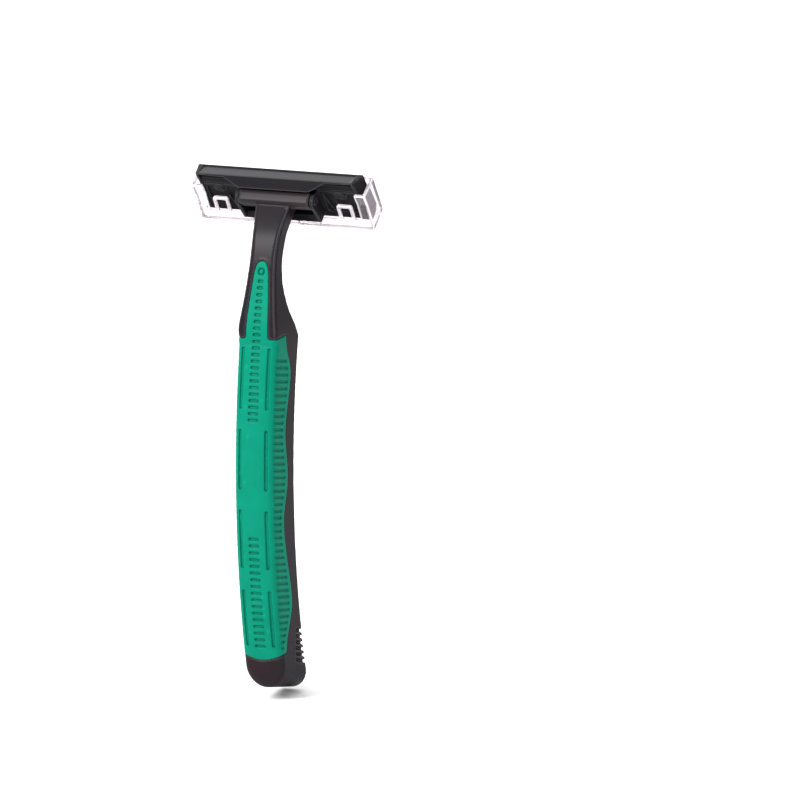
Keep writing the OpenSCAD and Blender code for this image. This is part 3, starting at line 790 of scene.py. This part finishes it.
add(blade("upper_blade_strip", UPPER_EDGE), "head", STEEL, "upper_blade")
add(blade("lower_blade_strip", LOWER_EDGE), "head", STEEL, "lower_blade")
cover = mirrored_piece("clear_cover", cover_field, (0, -2.3, -10.2), (22.8, 6.7, 3.6), 0.19, HEAD_FRAME,
                       190_000)
add(cover, "cover", CLEAR, "cover")
frame["nodes"]["blade_spacer"].data.materials.clear()
frame["nodes"]["blade_spacer"].data.materials.append(SPACER)


# ---------------------------------------------------------------- floor, light and camera
def stage_floor():
    """A plain pale floor, wide enough for every view."""
    bm = bmesh.new()
    bmesh.ops.create_grid(bm, x_segments=8, y_segments=8, size=6.0)
    mesh = bpy.data.meshes.new("floor")
    bm.to_mesh(mesh)
    bm.free()
    floor = bpy.data.objects.new("floor", mesh)
    floor.location.z = cad_box[0][2] - 0.0004
    bpy.context.scene.collection.objects.link(floor)
    material, nodes, links, shader = new_material("pale_floor", Roughness=0.9, Specular_IOR_Level=0.1)
    tone = noise(nodes, links, 3, 2.0)
    colour = ramp_node(nodes, links, tone.outputs["Fac"],
                       [(0.3, (0.93, 0.93, 0.93)), (0.7, (0.96, 0.96, 0.96))])
    links.new(colour.outputs["Color"], shader.inputs["Base Color"])
    floor.data.materials.append(material)


def area_light(name, place, aim, size, power):
    """A soft rectangular lamp at place, facing aim."""
    lamp = bpy.data.lights.new(name, "AREA")
    lamp.shape = "RECTANGLE"
    lamp.size, lamp.size_y = size
    lamp.energy = power
    ob = bpy.data.objects.new(name, lamp)
    ob.location = place
    ob.rotation_euler = (Vector(aim) - Vector(place)).to_track_quat("-Z", "Y").to_euler()
    bpy.context.scene.collection.objects.link(ob)


stage_floor()
middle = Vector((0, 0, 0.065))
area_light("soft_top", (0.1, 0.3, 0.95), middle, (1.1, 1.1), 8)
area_light("soft_back", (0.42, 0.85, 0.72), middle, (0.22, 0.34), 13)
area_light("soft_front", (0.45, -0.85, 0.5), middle, (0.25, 0.4), 3)
area_light("edge_strip", (-0.95, 0.12, 0.3), middle, (0.05, 0.5), 0.4)

world = bpy.data.worlds.new("studio")
bpy.context.scene.world = world
world.use_nodes = True
world.node_tree.nodes["Background"].inputs["Color"].default_value = (1, 1, 1, 1)
world.node_tree.nodes["Background"].inputs["Strength"].default_value = 0.76

VIEW_AZ, VIEW_EL, VIEW_ROLL = math.radians(203.7), math.radians(13.2), math.radians(-1.37)
SENSOR, LENS = 36.0, 600.0
VIEW_WIDTH = 187.8          # what the picture spans at the object, in mm
DISTANCE = VIEW_WIDTH * LENS / SENSOR * MM
AIM_RIGHT, AIM_UP = 28.03, 68.61    # from the foot of the handle's axis to the middle of the picture, in mm


def place_camera():
    """The long-lens camera of the photograph's viewing angle, with the object left of the middle."""
    right = Vector((math.cos(VIEW_AZ), math.sin(VIEW_AZ), 0))
    out = Vector((math.sin(VIEW_AZ) * math.cos(VIEW_EL), -math.cos(VIEW_AZ) * math.cos(VIEW_EL),
                  math.sin(VIEW_EL)))
    up = out.cross(right)
    turn = Matrix.Rotation(VIEW_ROLL, 3, out)
    right, up = turn @ right, turn @ up
    target = (Vector((0, Y0, 0)) + right * AIM_RIGHT + up * AIM_UP) * MM
    data = bpy.data.cameras.new("camera")
    data.lens, data.sensor_width = LENS, SENSOR
    data.clip_start, data.clip_end = 0.1, 60
    camera = bpy.data.objects.new("camera", data)
    camera.matrix_world = (Matrix.Translation(target + out * DISTANCE)
                           @ Matrix((right, up, out)).transposed().to_4x4())
    bpy.context.scene.collection.objects.link(camera)
    bpy.context.scene.camera = camera


place_camera()
bpy.context.scene.view_settings.view_transform = "Standard"
